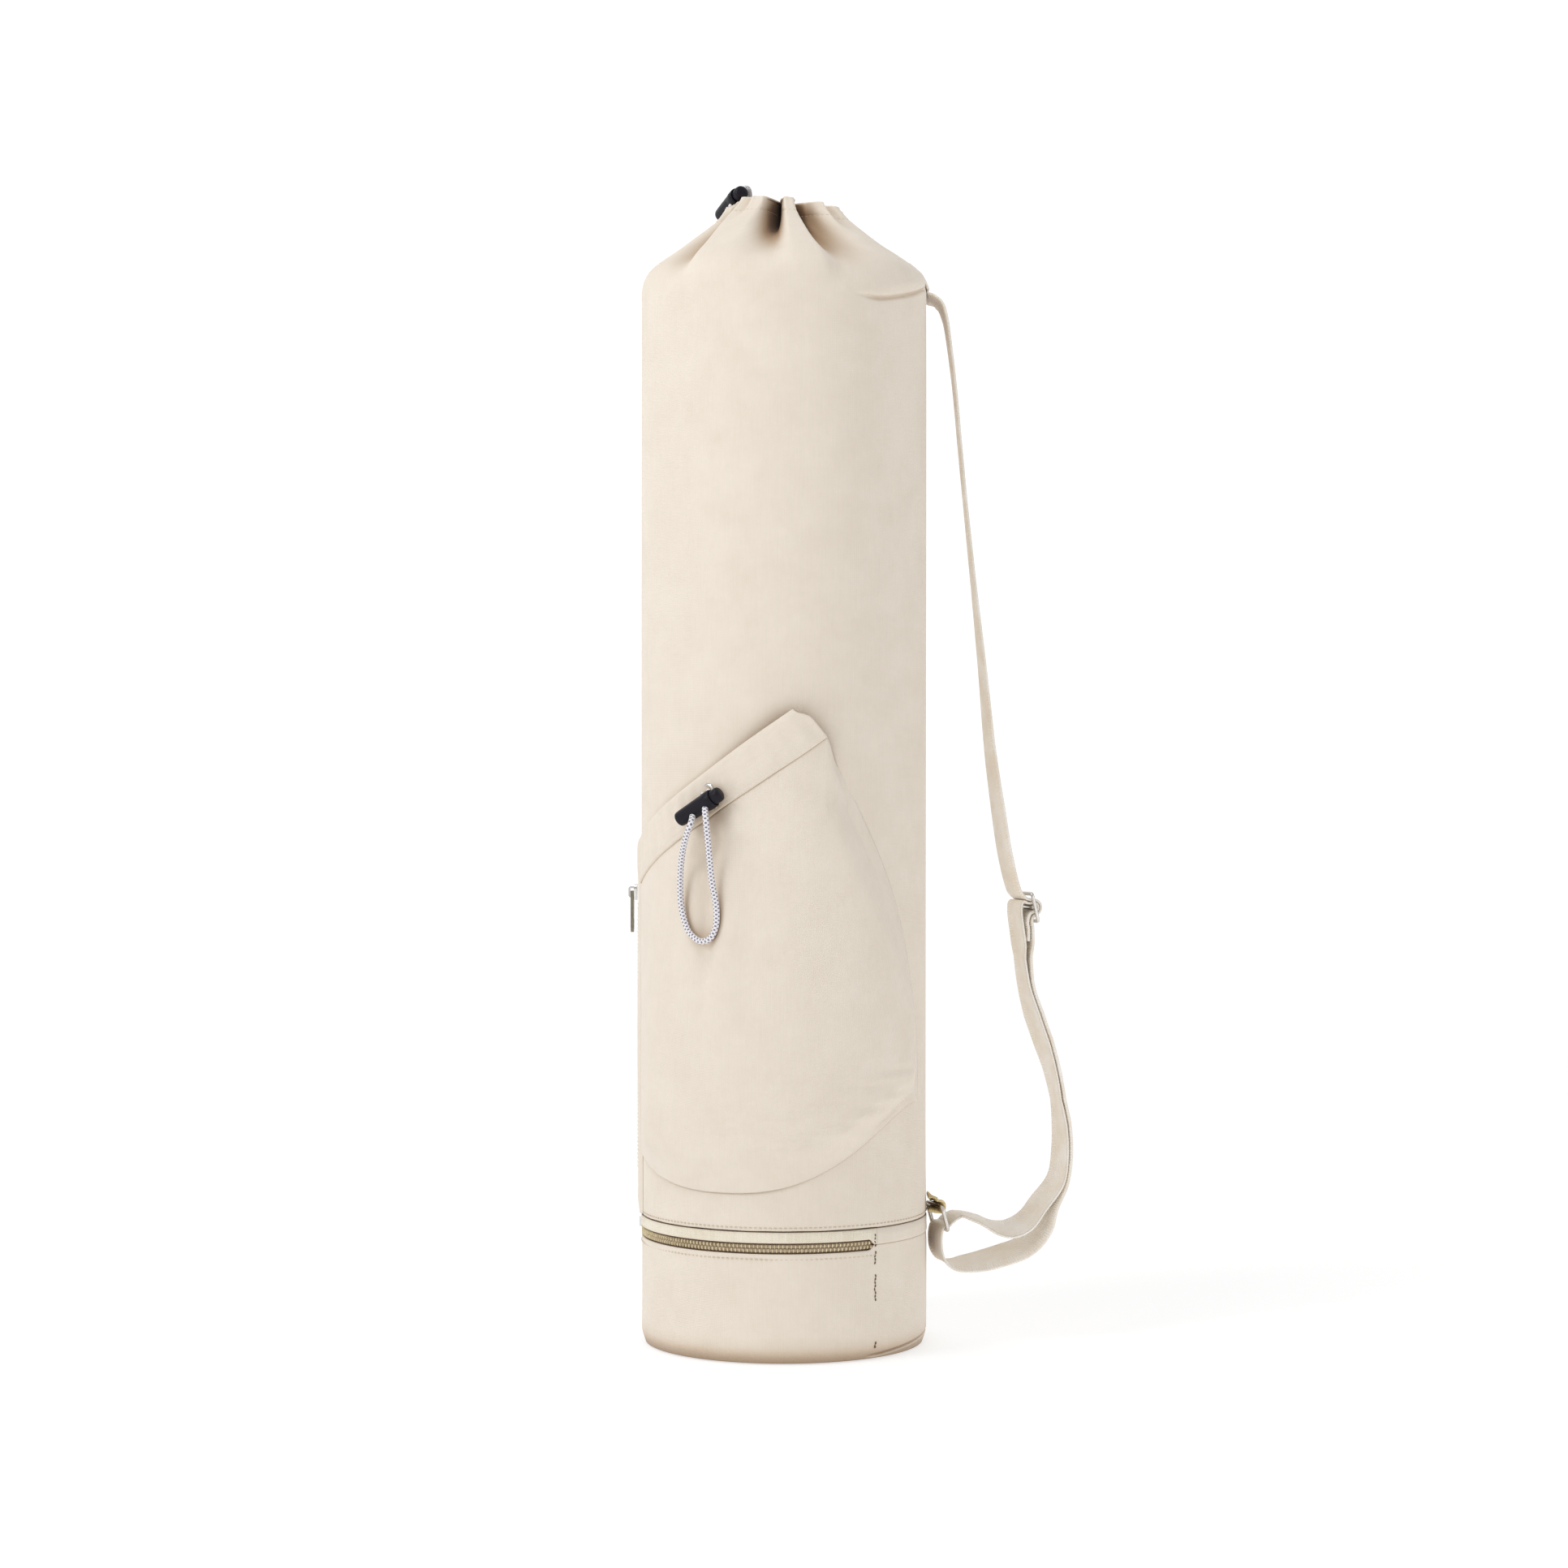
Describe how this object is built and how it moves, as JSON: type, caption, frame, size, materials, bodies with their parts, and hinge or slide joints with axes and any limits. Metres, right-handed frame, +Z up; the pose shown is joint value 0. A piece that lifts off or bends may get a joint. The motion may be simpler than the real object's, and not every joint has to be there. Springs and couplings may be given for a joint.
{
  "type": "yoga mat bag",
  "caption": "Upright canvas yoga mat bag with a gathered drawstring mouth, a slanted drawstring bottle pocket, a zipped base compartment and a webbing shoulder strap.",
  "frame": {"origin": "centre of the base's underside", "axes": "+Z up along the bag, -Y the front with the bottle pocket, +X the side with the shoulder strap"},
  "size_m": [0.275, 0.1889, 0.7161],
  "materials": {
    "canvas": "plain woven cotton canvas, matt",
    "webbing": "woven cotton webbing, matt",
    "zip_coil": "moulded coil on cream tape",
    "nickel": "polished nickel plate",
    "lock_plastic": "moulded, satin",
    "cord": "braided cord, white with grey flecks"
  },
  "bodies": {
    "root": {"bag_body": "canvas", "compartment_floor": "canvas", "base_wall": "canvas", "base_panel": "canvas", "bottle_pocket": "canvas", "pocket_hem": "canvas", "side_pocket": "canvas", "base_zip": "zip_coil", "side_zip": "zip_coil", "base_zip_slider": "nickel", "side_zip_slider": "nickel", "pocket_eyelet": "nickel", "pocket_lock_barrel": "lock_plastic", "top_lock_barrel": "lock_plastic", "pocket_cord": "cord", "top_cord": "cord", "strap_webbing": "webbing", "ring_tab": "webbing", "strap_slider": "nickel", "strap_ring": "nickel"},
    "pocket_button": {"pocket_lock_button": "lock_plastic"},
    "top_button": {"top_lock_button": "lock_plastic"},
    "side_pull": {"side_zip_puller": "nickel"}
  },
  "joints": [
    {"name": "pocket_button_press", "type": "slide", "parent": "root", "child": "pocket_button", "axis": [-0.7628, 0.4279, -0.4849], "range_m": [0, 0.003], "stiffness_N_per_m": 400},
    {"name": "top_button_press", "type": "slide", "parent": "root", "child": "top_button", "axis": [-0.4178, 0.8576, -0.2999], "range_m": [0, 0.003], "stiffness_N_per_m": 400},
    {"name": "side_pull_swing", "type": "hinge", "parent": "root", "child": "side_pull", "pos_m": [-0.09417, 0.00494, 0.277], "axis": [0.0523, 0.9986, 0], "range_deg": [0, 150]}
  ]
}
